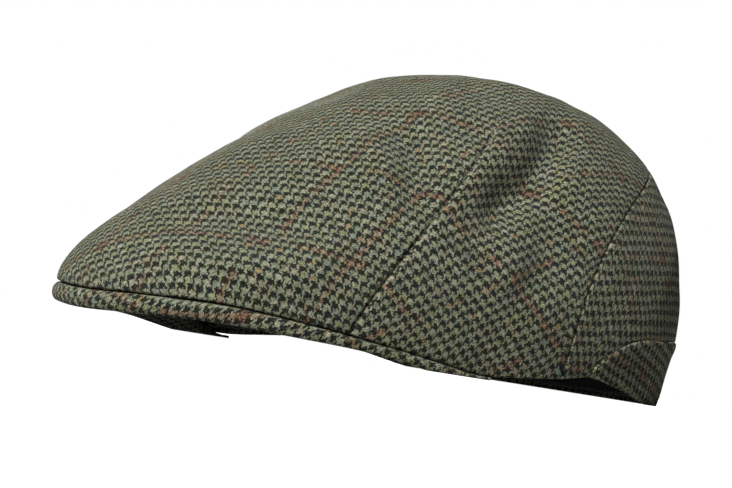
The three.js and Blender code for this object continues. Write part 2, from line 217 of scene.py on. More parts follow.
# ---- The crown's surface ----
def smooth_point(azimuth, up):
    azimuth, up = np.broadcast_arrays(np.asarray(azimuth, float), np.asarray(up, float))
    turn = np.radians(azimuth)
    radius = edge_radius(azimuth)
    height = section(azimuth, "edge") + edge_lift(azimuth)
    crest = section(azimuth, "crest")
    down = 1 - up
    w0 = down ** 3
    w1 = 3 * up * down ** 2
    w2 = 3 * up ** 2 * down
    w3 = up ** 3
    r = w0 * radius + w1 * (radius + section(azimuth, "flare")) + w2 * crest
    z = (w0 * height + w1 * (height + section(azimuth, "rise"))
         + w2 * (CROWN_HEIGHT + CROWN_TILT * crest * np.cos(turn)) + w3 * CROWN_HEIGHT)
    return np.stack([r * np.sin(turn), r * np.cos(turn), z], -1)


def unit(vectors):
    return vectors / np.maximum(np.linalg.norm(vectors, axis=-1, keepdims=True), 1e-9)


def outward(surface, azimuth, up):
    low = np.maximum(up - 0.004, 0)
    along = surface(azimuth, low + 0.008) - surface(azimuth, low)
    around = surface(azimuth + 0.4, up) - surface(azimuth - 0.4, up)
    normal = unit(np.cross(along, around))
    top = unit(np.array([0, -CROWN_TILT, 1.0]))
    return np.where((up > 0.995)[..., None], top, normal)


def fold_line(fold):
    start, middle, end = (np.array(fold[k:k + 2], float) for k in (0, 2, 4))
    t = np.linspace(0, 1, 17)[:, None]
    bend = 2 * middle - (start + end) / 2
    place = (1 - t) ** 2 * start + 2 * t * (1 - t) * bend + t ** 2 * end
    return smooth_point(place[:, 0], place[:, 1])


FOLD_LINES = {name: fold_line(fold) for name, fold in FOLDS.items()}


def fold_depth(point):
    """Depth of all folds: each is a smooth trough that fades out along its own ends."""
    depth = np.zeros(point.shape[:-1])
    for name, fold in FOLDS.items():
        line = FOLD_LINES[name]
        nearest = np.full(depth.shape, np.inf)
        along = np.zeros(depth.shape)
        for k in range(len(line) - 1):
            step = line[k + 1] - line[k]
            offset = point - line[k]
            t = np.clip(offset @ step / (step @ step), 0, 1)
            distance = np.linalg.norm(offset - t[..., None] * step, axis=-1)
            closer = distance < nearest
            nearest = np.where(closer, distance, nearest)
            along = np.where(closer, (k + t) / (len(line) - 1), along)
        fade = np.sqrt(np.sin(np.pi * np.clip(along, 0.02, 0.98)))
        depth += fold[7] * fade * np.exp(-((nearest / fold[6]) ** 2) / 2)
    return depth


def cloth_point(azimuth, up):
    azimuth, up = np.broadcast_arrays(np.asarray(azimuth, float), np.asarray(up, float))
    point = smooth_point(azimuth, up)
    hold = smoothstep(up, 0.04, 0.16)  # no fold reaches the sewn lower edge
    return point - outward(smooth_point, azimuth, up) * (hold * fold_depth(point))[..., None]


def seam_start(even):
    """Start of each crown column: on the back seam's arch behind, on the lower edge in front."""
    t = np.clip(even / SEAM_HALF_SPAN, -1, 1)
    turn = np.radians(90 * np.sign(t) * (1 - (1 - np.abs(t)) ** 1.25))
    behind = np.abs(even) < SEAM_HALF_SPAN
    azimuth = np.where(behind, SEAM_HALF_SPAN * np.sin(turn), even)
    up = np.where(behind, SEAM_UP * np.maximum(np.cos(turn), 0) ** SEAM_ROUNDNESS, 0)
    return azimuth, up


def dart_azimuth(up):
    u = np.minimum(up, DART_TOP)
    return DART_FOOT - DART_LEAN * u - DART_BEND * u * u


def crown_place(even, share):
    """Azimuth and up at a share of the way up the crown column that ends at azimuth "even"."""
    start_azimuth, start_up = seam_start(even)
    up = start_up + (1 - start_up) * share
    spread = smoothstep(share, 0, 0.6)
    azimuth = start_azimuth + (even - start_azimuth) * spread
    lean = np.where(np.abs(even) < SEAM_HALF_SPAN, smoothstep(share, 0, 0.15), 1)
    for side in (1, -1):
        off = (even * side - DART_FOOT + 180) % 360 - 180
        pull = np.where(np.abs(off) < DART_REACH, (1 + np.cos(np.pi * off / DART_REACH)) / 2, 0)
        azimuth = azimuth + side * lean * pull * (dart_azimuth(up) - DART_FOOT)
    return azimuth, up


def band_up(azimuth):
    """Upper edge of the back band."""
    return BAND_UP * np.maximum(1 - (from_back(azimuth) / BAND_HALF_SPAN) ** BAND_SQUARENESS, 0)


# ---- Small shape of the cloth ----
def crowded(low, high, step, crowds):
    """Values from low to high about a step apart, and closer near each (place, step, reach)."""
    x = np.linspace(low, high, 6000)
    density = np.full(len(x), 1 / step)
    for place, fine, reach in crowds:
        density += (1 / fine - 1 / step) * np.exp(-(((x - place) / reach) ** 2))
    total = np.concatenate([[0], np.cumsum((density[1:] + density[:-1]) / 2 * np.diff(x))])
    return np.interp(np.linspace(0, total[-1], int(round(total[-1])) + 1), total, x)


def run_along(line):
    """Distance of each point of a line, or of several lines side by side, from the line's start."""
    steps = np.linalg.norm(np.diff(line, axis=0), axis=-1)
    return np.concatenate([0 * steps[:1], np.cumsum(steps, axis=0)])


def distance_to(points, line):
    """Distance of each point from a line of points, and the share of the line at the nearest place."""
    run = run_along(line)
    at = np.linspace(0, run[-1], int(run[-1] / 0.3) + 2)
    dense = np.stack([np.interp(at, run, line[:, k]) for k in range(3)], -1)
    tree = KDTree(len(dense))
    for i, place in enumerate(dense):
        tree.insert(place, i)
    tree.balance()
    found = [tree.find(p) for p in points.reshape(-1, 3)]
    distance = np.array([f[2] for f in found]).reshape(points.shape[:-1])
    share = np.array([f[1] for f in found]).reshape(points.shape[:-1]) / (len(dense) - 1)
    return distance, share


def rounding(distance, radius):
    """How far a turned edge drops away at a distance from it: a quarter circle."""
    reach = np.clip(1 - distance / radius, 0, 1)
    return radius * (1 - np.sqrt(1 - reach * reach))


WAVES = (
    # length in mm, height in mm, direction, phase
    (61, 0.32, (0.8, 0.5, 0.33), 0.4),
    (47, 0.26, (-0.45, 0.8, 0.4), 2.1),
    (38, 0.22, (0.2, -0.6, 0.77), 4.0),
    (29, 0.16, (0.9, -0.1, -0.42), 1.2),
    (23, 0.12, (-0.6, -0.7, 0.38), 5.3),
    (17, 0.08, (0.1, 0.95, -0.3), 3.1),
    (13, 0.05, (0.7, 0.3, 0.65), 0.9),
)


def soft_waves(points):
    """Low uneven swells, as cloth has that isn't stretched tight."""
    total = np.zeros(points.shape[:-1])
    for length, height, direction, phase in WAVES:
        across = points @ unit(np.array(direction))
        total += height * np.sin(2 * np.pi * across / length + phase + 1.3 * np.sin(across / 31))
    return total


# ---- Laying the cloth flat ----
def grid_links(index):
    pairs = (
        (index[:-1], index[1:]),
        (index[:, :-1], index[:, 1:]),
        (index[:-1, :-1], index[1:, 1:]),
        (index[:-1, 1:], index[1:, :-1]),
    )
    return np.vstack([np.stack([a.ravel(), b.ravel()], 1) for a, b in pairs])


def laid_flat(points, layout, links, ties, rounds):
    """Moves a plane layout of the points until the links have their lengths in space."""
    group = np.arange(len(points))
    for a, b in ties:
        group[group == group[b]] = group[a]
    _, group = np.unique(group, return_inverse=True)
    group = group.ravel()
    count = np.bincount(group)
    place = np.stack([np.bincount(group, layout[:, k]) / count for k in (0, 1)], 1)
    length = np.linalg.norm(points[links[:, 0]] - points[links[:, 1]], axis=1)
    links = group[links[length > 1e-6]]
    length = length[length > 1e-6]
    degree = np.bincount(links.ravel(), minlength=len(place)).astype(float)
    speed = np.zeros_like(place)
    for _ in range(rounds):
        gap = place[links[:, 1]] - place[links[:, 0]]
        now = np.linalg.norm(gap, axis=1) + 1e-9
        push = gap * (0.5 * (now - length) / now)[:, None]
        for k in (0, 1):
            pull = (np.bincount(links[:, 0], push[:, k], len(place))
                    - np.bincount(links[:, 1], push[:, k], len(place)))
            speed[:, k] = 0.9 * speed[:, k] + pull / degree
        place = place + speed
    return place[group]


def resampled(coarse, columns, rows):
    """Values of a coarse grid at fractional column and row numbers, by cubic interpolation."""
    def along(values, places):
        before = 2 * values[:1] - values[1:2]
        after = 2 * values[-1:] - values[-2:-1]
        padded = np.concatenate([before, values, after])
        i = np.clip(np.floor(places).astype(int), 0, len(values) - 2)
        t = (places - i)[:, None, None]
        a, b, c, d = (padded[i + k] for k in range(4))
        return b + t / 2 * (c - a + t * (2 * a - 5 * b + 4 * c - d + t * (3 * (b - c) + d - a)))
    there = along(coarse, columns)
    return along(there.swapaxes(0, 1), rows).swapaxes(0, 1)


def turned(flat, degrees):
    c = math.cos(math.radians(degrees))
    s = math.sin(math.radians(degrees))
    return np.stack([flat[..., 0] * c + flat[..., 1] * s, flat[..., 1] * c - flat[..., 0] * s], -1)


# ---- Meshes ----
# From the middle of the head opening to the frame's origin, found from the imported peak's front.
SHIFT_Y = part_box("peak")[0].y * 1000 + PEAK_REACH - PEAK_CENTRE_Y


class Shape:
    """Points and faces of one piece, with a cloth place and a chart place at every corner."""

    def __init__(self):
        self.points = []
        self.count = 0
        self.faces = []
        self.cloth = []
        self.chart = []

    def add(self, points):
        """Adds a grid of points and returns the grid of their numbers."""
        flat = points.reshape(-1, 3)
        numbers = np.arange(self.count, self.count + len(flat)).reshape(points.shape[:-1])
        self.points.append(flat)
        self.count += len(flat)
        return numbers

    def skin(self, numbers, cloth, chart, flip=False):
        """Faces over a grid of point numbers; cloth and chart are grids of the same size."""
        corners = ((0, 0), (0, 1), (1, 1), (1, 0))
        rows, columns = numbers.shape
        def corner(grid, i, j):
            return grid[i:rows - 1 + i, j:columns - 1 + j]
        order = corners[::-1] if flip else corners
        self.faces.append(np.stack([corner(numbers, i, j).ravel() for i, j in order], 1))
        self.cloth.append(np.stack([corner(cloth, i, j).reshape(-1, 2) for i, j in order], 1))
        self.chart.append(np.stack([corner(chart, i, j).reshape(-1, 2) for i, j in order], 1))

    def mesh(self, name, material):
        points = np.vstack(self.points)
        points[:, 2] = np.maximum(points[:, 2], 0)  # the cloth is pressed flat where it rests
        points = (points + [0, SHIFT_Y, 0]) / 1000
        faces = np.vstack(self.faces)
        cloth = np.vstack(self.cloth)
        chart = np.vstack(self.chart)
        kept = []
        cloth_corners = []
        chart_corners = []
        for face, a, b in zip(faces.tolist(), cloth, chart):
            use = [k for k in range(4) if face[k] != face[k - 1]]
            if len(use) > 2:
                kept.append([face[k] for k in use])
                cloth_corners.append(a[use])
                chart_corners.append(b[use])
        mesh = bpy.data.meshes.new(name)
        mesh.from_pydata(points.tolist(), [], kept)
        for label, corners in (("Cloth", cloth_corners), ("OFBake", chart_corners)):
            layer = mesh.uv_layers.new(name=label, do_init=False)
            layer.uv.foreach_set("vector", np.vstack(corners).astype(np.float32).ravel())
        mesh.polygons.foreach_set("use_smooth", [True] * len(mesh.polygons))
        mesh.materials.append(material)
        mesh.update()
        piece = bpy.data.objects.new(name, mesh)
        bpy.context.scene.collection.objects.link(piece)
        return piece


def fitted(flat, low, high):
    """Chart places: a flat layout scaled evenly into the box from low to high."""
    least = flat.reshape(-1, 2).min(0)
    size = flat.reshape(-1, 2).max(0) - least
    low = np.array(low, float)
    scale = ((np.array(high, float) - low) / size).min()
    return low + (flat - least) * scale


def finish_piece(piece, nodes):
    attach(piece, "root")
    if nodes:
        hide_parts(*nodes)


# ---- Materials ----
class Graph:
    """Short names for the few kinds of node the materials use."""

    def __init__(self, name):
        self.material = bpy.data.materials.new(name)
        self.material.use_nodes = True
        self.nodes = self.material.node_tree.nodes
        self.links = self.material.node_tree.links
        self.shader = self.nodes["Principled BSDF"]

    def put(self, socket, value):
        if isinstance(value, bpy.types.NodeSocket):
            self.links.new(value, socket)
        else:
            socket.default_value = value

    def math(self, operation, *values):
        node = self.nodes.new("ShaderNodeMath")
        node.operation = operation
        for socket, value in zip(node.inputs, values):
            self.put(socket, value)
        return node.outputs[0]

    def mix(self, share, a, b):
        node = self.nodes.new("ShaderNodeMix")
        node.data_type = "RGBA"
        self.put(node.inputs["Factor"], share)
        colours = [socket for socket in node.inputs if socket.type == "RGBA"]
        self.put(colours[0], a)
        self.put(colours[1], b)
        return [socket for socket in node.outputs if socket.type == "RGBA"][0]

    def noise(self, place, scale, detail=2.0, roughness=0.5):
        node = self.nodes.new("ShaderNodeTexNoise")
        self.put(node.inputs["Vector"], place)
        node.inputs["Scale"].default_value = scale
        node.inputs["Detail"].default_value = detail
        node.inputs["Roughness"].default_value = roughness
        return node.outputs["Fac"]

    def chance(self, x, y):
        """A steady random number for each pair of whole numbers."""
        node = self.nodes.new("ShaderNodeTexWhiteNoise")
        node.noise_dimensions = "2D"
        self.put(node.inputs["Vector"], self.vector(x, y))
        return node.outputs["Value"]

    def vector(self, x, y, z=0.0):
        node = self.nodes.new("ShaderNodeCombineXYZ")
        for socket, value in zip(node.inputs, (x, y, z)):
            self.put(socket, value)
        return node.outputs[0]

    def clamped(self, value):
        node = self.nodes.new("ShaderNodeClamp")
        self.put(node.inputs["Value"], value)
        return node.outputs[0]

    def chosen(self, luck, colours):
        """One of some (share, colour) pairs, picked by a number from 0 to 1."""
        result = rgb(*colours[0][1])
        least = 0.0
        for (share, _), (_, colour) in zip(colours, colours[1:]):
            least += share
            result = self.mix(self.math("GREATER_THAN", luck, least), result, rgb(*colour))
        return result

    def on_line(self, repeats, spacing):
        """1 in the first of each `spacing` repeats, else 0."""
        turn = self.math("FLOORED_MODULO", self.math("FLOOR", repeats), spacing)
        return self.math("LESS_THAN", turn, 0.5)

    def counted(self, x, y, turn, repeat):
        """How many repeats of the cloth a point lies along the direction `turn`."""
        angle = math.radians(turn)
        part = self.math("MULTIPLY", y, math.sin(angle) / repeat)
        return self.math("MULTIPLY_ADD", x, math.cos(angle) / repeat, part)

    def either(self, share, a, b):
        """`a` where the share is 0 and `b` where it is 1."""
        return self.math("MULTIPLY_ADD", share, self.math("SUBTRACT", b, a), a)

    def weighed(self, a, weight_a, b, weight_b):
        return self.math("ADD", self.math("MULTIPLY", a, weight_a), self.math("MULTIPLY", b, weight_b))

    def cloth_place(self):
        node = self.nodes.new("ShaderNodeUVMap")
        node.uv_map = "Cloth"
        split = self.nodes.new("ShaderNodeSeparateXYZ")
        self.links.new(node.outputs[0], split.inputs[0])
        return node.outputs[0], split.outputs[0], split.outputs[1]

    def bump(self, height, distance, strength=1.0):
        node = self.nodes.new("ShaderNodeBump")
        node.inputs["Strength"].default_value = strength
        node.inputs["Distance"].default_value = distance
        self.put(node.inputs["Height"], height)
        self.links.new(node.outputs[0], self.shader.inputs["Normal"])


def rgb(r, g, b):
    return (r, g, b, 1.0)


SHADOW = rgb(0.006, 0.007, 0.005)  # between the threads
BROWN = rgb(0.022, 0.013, 0.008)  # dark threads on the coloured lines


# Yarns: the share of the light, dark or rust places that has each colour, and the colour.
LIGHT_YARNS = (
    (0.46, (0.252, 0.260, 0.166)),
    (0.24, (0.300, 0.306, 0.212)),
    (0.13, (0.266, 0.280, 0.144)),
    (0.09, (0.215, 0.256, 0.186)),
    (0.06, (0.290, 0.252, 0.176)),
    (0.02, (0.318, 0.230, 0.115)),
)
DARK_YARNS = (
    (0.44, (0.0070, 0.0088, 0.0046)),
    (0.26, (0.0075, 0.0098, 0.0150)),
    (0.20, (0.0052, 0.0130, 0.0090)),
    (0.10, (0.0130, 0.0092, 0.0046)),
)
RUST_YARNS = (
    (0.40, (0.240, 0.120, 0.076)),
    (0.35, (0.268, 0.164, 0.082)),
    (0.25, (0.212, 0.090, 0.062)),
)


SWAY = 2.0  # mm
SHAKE = 1.2  # mm
FUZZ = 0.45  # repeats


def tweed():
    g = Graph("tweed")
    place, x, y = g.cloth_place()
    # The threads wander a little, on the scale of a few checks and of one check.
    sway_x = g.math("SUBTRACT", g.noise(place, 0.13, 2), 0.5)
    sway_y = g.math("SUBTRACT", g.noise(g.vector(y, x, 7.0), 0.13, 2), 0.5)
    shake_x = g.math("SUBTRACT", g.noise(g.vector(x, y, 3.0), 0.8, 2), 0.5)
    shake_y = g.math("SUBTRACT", g.noise(g.vector(y, x, 5.0), 0.8, 2), 0.5)
    x = g.math("ADD", x, g.weighed(sway_x, SWAY, shake_x, SHAKE))
    y = g.math("ADD", y, g.weighed(sway_y, SWAY, shake_y, SHAKE))
    # Fibres stand out of the yarns and blur their edges.
    fibre = g.noise(place, 2.4, 3, 0.65)
    fuzz = g.math("SUBTRACT", fibre, 0.5)
    other_fuzz = g.math("SUBTRACT", g.noise(g.vector(y, x, 9.0), 2.4, 3, 0.65), 0.5)
    warp = g.math("MULTIPLY_ADD", fuzz, FUZZ, g.counted(x, y, WARP_TURN, WARP_REPEAT))
    weft = g.math("MULTIPLY_ADD", other_fuzz, FUZZ, g.counted(x, y, WEFT_TURN, WEFT_REPEAT))
    warp_threads = g.math("MULTIPLY", warp, THREADS)
    weft_threads = g.math("MULTIPLY", weft, THREADS)
    warp_thread = g.math("FLOOR", warp_threads)
    weft_thread = g.math("FLOOR", weft_threads)
    # A two-and-two twill: which of the two threads lies on top moves over by one in each row.
    step = g.math("ADD", g.math("SUBTRACT", warp_thread, weft_thread), 1.5)
    warp_on_top = g.math("LESS_THAN", g.math("FRACT", g.math("MULTIPLY", step, 0.25)), 0.5)
    warp_light = g.math("LESS_THAN", g.math("FRACT", warp), 0.5)
    weft_light = g.math("LESS_THAN", g.math("FRACT", weft), 0.5)
    light = g.either(warp_on_top, weft_light, warp_light)
    light = g.clamped(g.math("ADD", other_fuzz, g.math("MULTIPLY", light, 0.94)))
    # One draw of colour for each half repeat of light threads, and for each repeat of dark ones.
    half_warp = g.math("FLOOR", g.math("MULTIPLY", warp, 2.0))
    half_weft = g.math("FLOOR", g.math("MULTIPLY", weft, 2.0))
    luck = g.chance(half_warp, half_weft)
    moved_weft = g.math("FLOOR", g.math("ADD", weft, 0.25))
    moved_warp = g.math("FLOOR", g.math("ADD", warp, 0.25))
    other_luck = g.chance(moved_weft, moved_warp)
    fleck = g.chance(warp_thread, weft_thread)
    drift = g.noise(place, 0.05, 3, 0.55)
    light_yarn = g.chosen(luck, LIGHT_YARNS)
    dark_yarn = g.chosen(other_luck, DARK_YARNS)
    # The overcheck: in patches along its lines the light threads are rust and the dark ones brown.
    line = g.either(warp_on_top, g.on_line(weft, WEFT_CHECK), g.on_line(warp, WARP_CHECK))
    patches = g.math("GREATER_THAN", g.noise(g.vector(x, y, 11.0), 0.11, 1), 0.46)
    rust = g.math("MULTIPLY", line, patches)
    light_yarn = g.mix(g.math("MULTIPLY", rust, 0.85), light_yarn, g.chosen(luck, RUST_YARNS))
    dark_yarn = g.mix(g.math("MULTIPLY", rust, 0.7), dark_yarn, BROWN)
    yarn = g.mix(light, dark_yarn, light_yarn)
    # Painted shading: each thread is round, so its colour is darkened along its sides; the fleck, fibre
    # and drift factors add tone that differs at random.
    across = g.either(warp_on_top, g.math("FRACT", weft_threads), g.math("FRACT", warp_threads))
    crest = g.math("SINE", g.math("MULTIPLY", across, math.pi))
    shade_and_tone = g.math("MULTIPLY_ADD", crest, 0.4, 0.38)
    for part, gain, base in ((fleck, 1.3, 0.4), (fibre, 3.4, -0.7), (drift, 0.5, 0.75)):
        shade_and_tone = g.math("MULTIPLY", shade_and_tone, g.math("MULTIPLY_ADD", part, gain, base))
    # Where the painted shading and random tone are deep, the yarn's colour fades to the painted SHADOW
    # colour.
    colour = g.mix(g.clamped(shade_and_tone), SHADOW, yarn)
    g.put(g.shader.inputs["Base Color"], colour)
    g.put(g.shader.inputs["Roughness"], g.math("MULTIPLY_ADD", fibre, -0.12, 0.98))
    g.shader.inputs["Specular IOR Level"].default_value = 0.05
    g.shader.inputs["Sheen Weight"].default_value = 0.04
    g.shader.inputs["Sheen Roughness"].default_value = 0.5
    height = g.math("MULTIPLY_ADD", light, 0.5, g.math("MULTIPLY", crest, 0.4))
    g.bump(g.math("MULTIPLY_ADD", fibre, 0.5, height), 0.0003, 0.8)
    return g.material


def ribbon():
    g = Graph("ribbon")
    place, x, y = g.cloth_place()
    rib = g.math("FRACT", g.math("DIVIDE", x, RIB))
    crest = g.math("SINE", g.math("MULTIPLY", rib, math.pi))
    thread = g.math("SINE", g.math("MULTIPLY", y, 2 * math.pi / 0.36))
    fibre = g.noise(place, 6.0, 3)
    drift = g.noise(place, 0.06, 2)
    # Painted shading: the ribs' colour is lighter on their crests and darker between them, with a slow
    # drift of tone that differs at random.
    shade_and_tone = g.math("MULTIPLY", crest, g.math("ADD", 0.5, g.math("MULTIPLY", drift, 0.8)))
    colour = g.mix(shade_and_tone, rgb(0.003, 0.004, 0.003), rgb(0.017, 0.022, 0.017))
    g.put(g.shader.inputs["Base Color"], colour)
    g.put(g.shader.inputs["Roughness"], g.math("ADD", 0.5, g.math("MULTIPLY", fibre, 0.3)))
    g.shader.inputs["Sheen Weight"].default_value = 0.1
    height = g.math("ADD", crest, g.math("MULTIPLY", thread, 0.25))
    g.bump(height, 0.00008, 0.6)
    return g.material


def stitch_thread(name, low, high):
    g = Graph(name)
    place, x, y = g.cloth_place()
    # Painted shading: the thread's colour is darker in the grooves of its twist and lighter on its
    # ridges.
    slant = g.math("ADD", x, g.math("MULTIPLY", y, 0.8))
    twist = g.math("SINE", g.math("MULTIPLY", slant, 2 * math.pi / 0.35))
    share = g.math("ADD", 0.5, g.math("MULTIPLY", twist, 0.5))
    g.put(g.shader.inputs["Base Color"], g.mix(share, rgb(*low), rgb(*high)))
    g.shader.inputs["Roughness"].default_value = 0.6
    g.bump(share, 0.00006, 0.5)
    return g.material


TWEED = tweed()
RIBBON = ribbon()
DARK_THREAD = stitch_thread("dark_thread", (0.004, 0.005, 0.004), (0.02, 0.024, 0.018))
PALE_THREAD = stitch_thread("pale_thread", (0.12, 0.12, 0.09), (0.34, 0.34, 0.27))

# ---- Crown ----
FLAT_STEP = 5.0  # degrees from column to column of the coarse grid that is laid flat
FLAT_ROWS = 26
FLAT_ROUNDS = 4000
MESH_STEP = 1.1  # degrees from column to column of the finished cloth
DART_GROOVE_DEPTH = 1.4
DART_GROOVE_WIDTH = 0.8


def crown_cloth():
    """The crown's cloth laid flat: the back and sides, and the front, cut apart along the darts."""
    share = np.linspace(0, 1, FLAT_ROWS + 1)
    blocks = [
        np.linspace(-DART_FOOT, DART_FOOT, int(2 * DART_FOOT / FLAT_STEP) + 1),
        np.linspace(DART_FOOT, 360 - DART_FOOT, int((360 - 2 * DART_FOOT) / FLAT_STEP) + 1),
    ]
    even = np.concatenate(blocks)
    azimuth, up = crown_place(even[:, None], share[None, :])
    points = cloth_point(azimuth, up)
    steps = np.linalg.norm(np.diff(points, axis=1), axis=2)
    to_top = np.zeros(points.shape[:2])
    to_top[:, :-1] = np.cumsum(steps[:, ::-1], axis=1)[:, ::-1]
    turn = np.radians(azimuth)
    layout = np.stack([to_top * np.sin(turn), to_top * np.cos(turn)], -1)
    index = np.arange(points.shape[0] * points.shape[1]).reshape(points.shape[:2])
    cut = len(blocks[0])
    links = np.vstack([grid_links(index[:cut]), grid_links(index[cut:])])
    ties = [(index[0, -1], n) for n in index[1:, -1]]
    for left, right in ((cut - 1, cut), (len(even) - 1, 0)):
        ties += [(index[left, j], index[right, j]) for j in range(FLAT_ROWS) if up[left, j] >= DART_TOP]
    flat = laid_flat(points.reshape(-1, 3), layout.reshape(-1, 2), links, ties, FLAT_ROUNDS)
    flat = flat.reshape(points.shape[:2] + (2,))
    flat = flat - flat[0, -1]
    # Near its top the crown is almost flat, so there the cloth is the crown seen from above.
    seen = (points - points[0, -1])[..., :2]
    match = (seen.reshape(-1, 2), flat.reshape(-1, 2))
    rows = (np.repeat(share[None], len(even), 0) > 0.75).ravel()
    turn_over = np.linalg.lstsq(match[0][rows], match[1][rows], rcond=None)[0]
    near_top = smoothstep(share, 0.78, 0.92)[None, :, None]
    flat = flat * (1 - near_top) + (seen @ turn_over) * near_top
    front = (flat[cut + 7, 0] + flat[cut + 8, 0]) / 2
    flat = turned(flat, math.degrees(math.atan2(front[0], -front[1])))
    # Beside the darts the cloth is pulled askew, most of all low down.
    for side, top in ((-1, 0), (1, cut - 1)):
        pivot = flat[top, int(DART_TOP * FLAT_ROWS)]
        askew = smoothstep(side * azimuth[:cut], 15, 80) * (1 - smoothstep(up[:cut], 0.15, DART_TOP))
        bend = np.radians(SIDE_PULL * side) * askew
        offset = flat[:cut] - pivot
        flat[:cut, :, 0] = pivot[0] + offset[..., 0] * np.cos(bend) - offset[..., 1] * np.sin(bend)
        flat[:cut, :, 1] = pivot[1] + offset[..., 0] * np.sin(bend) + offset[..., 1] * np.cos(bend)
    return flat[:cut], flat[cut:]


def crown():
    shape = Shape()
    flat_back, flat_front = crown_cloth()
    share = crowded(0, 1, 0.0125, [(0, 0.001, 0.014)])
    inner_rows = np.unique(np.concatenate([[0, 3, 6, 9], np.arange(12, len(share), 3), [len(share) - 1]]))
    darts = [(-DART_FOOT, 0.3, 2.0), (DART_FOOT, 0.3, 2.0)]
    seam_ends = [(-88.5, 0.4, 4.0), (88.5, 0.4, 4.0)]
    back = crowded(-DART_FOOT, DART_FOOT, MESH_STEP, darts + seam_ends)
    darts = [(DART_FOOT, 0.3, 2.0), (360 - DART_FOOT, 0.3, 2.0)]
    front = crowded(DART_FOOT, 360 - DART_FOOT, MESH_STEP, darts)
    even = np.concatenate([back, front[1:-1]])
    azimuth, up = crown_place(even[:, None], share[None, :])
    base = cloth_point(azimuth, up)
    normal = outward(cloth_point, azimuth, up)
    # Turned edges along the back seam, the rim and the seam on the peak.
    border = base[:, 0]
    border = np.vstack([border, border[:1]])
    near, _ = distance_to(base, border)
    lift = smoothstep(edge_lift(azimuth), 1.0, 6.0)
    seam = (seam_start(even)[1] > 0)[:, None]
    radius = np.where(seam, 1.3, 1.0 + 0.4 * lift)
    sink = rounding(near, radius)
    # The darts' seams, which run out upwards.
    dart_up = np.linspace(0, DART_TOP + 0.02, 160)
    groove = np.zeros(base.shape[:2])
    for side in (1, -1):
        line = cloth_point(side * dart_azimuth(dart_up), dart_up)
        across, along = distance_to(base, line)
        hollow = DART_GROOVE_DEPTH * np.exp(-((across / DART_GROOVE_WIDTH) ** 2))
        groove += hollow * (1 - smoothstep(along, 0.75, 1.0))
    swell = soft_waves(base) * smoothstep(near, 1, 14)
    outer = base + normal * (swell - groove - sink)[..., None]
    inner = base + normal * (swell - CLOTH + np.minimum(rounding(near, 1.0), CLOTH / 2))[..., None]
    inner[:, 0] = outer[:, 0]
    outer[:, -1] = outer[0, -1]
    inner[:, -1] = inner[0, -1]
    outside = shape.add(outer)
    outside[:, -1] = outside[0, -1]
    inside = shape.add(inner)
    inside[:, 0] = outside[:, 0]
    inside[:, -1] = inside[0, -1]
    rows = share * FLAT_ROWS
    parts = (
        (np.arange(len(back)), resampled(flat_back, (back + DART_FOOT) / FLAT_STEP, rows)),
        (np.append(np.arange(len(back) - 1, len(even)), 0),
         resampled(flat_front, (front - DART_FOOT) / FLAT_STEP, rows)),
    )
    everything = np.vstack([flat.reshape(-1, 2) for _, flat in parts])
    least = everything.min(0)
    scale = 0.985 / (everything.max(0) - least).max()
    for columns, flat in parts:
        cloth = turned(flat, CROWN_CUT[0]) + CROWN_CUT[1]
        chart = 0.005 + (flat - least) * scale
        shape.skin(outside[columns], cloth, chart)
        shape.skin(inside[columns][:, inner_rows], cloth[:, inner_rows], chart[:, inner_rows], flip=True)
    finish_piece(shape.mesh("crown_cloth", TWEED), ["crown"])


# ---- Back panel and back band ----
WALL_COLUMNS = 40  # of the coarse grid that is laid flat
WALL_ROWS = 10
WALL_ROUNDS = 2500
BAND_REACH = 84.0  # degrees to each side of the back


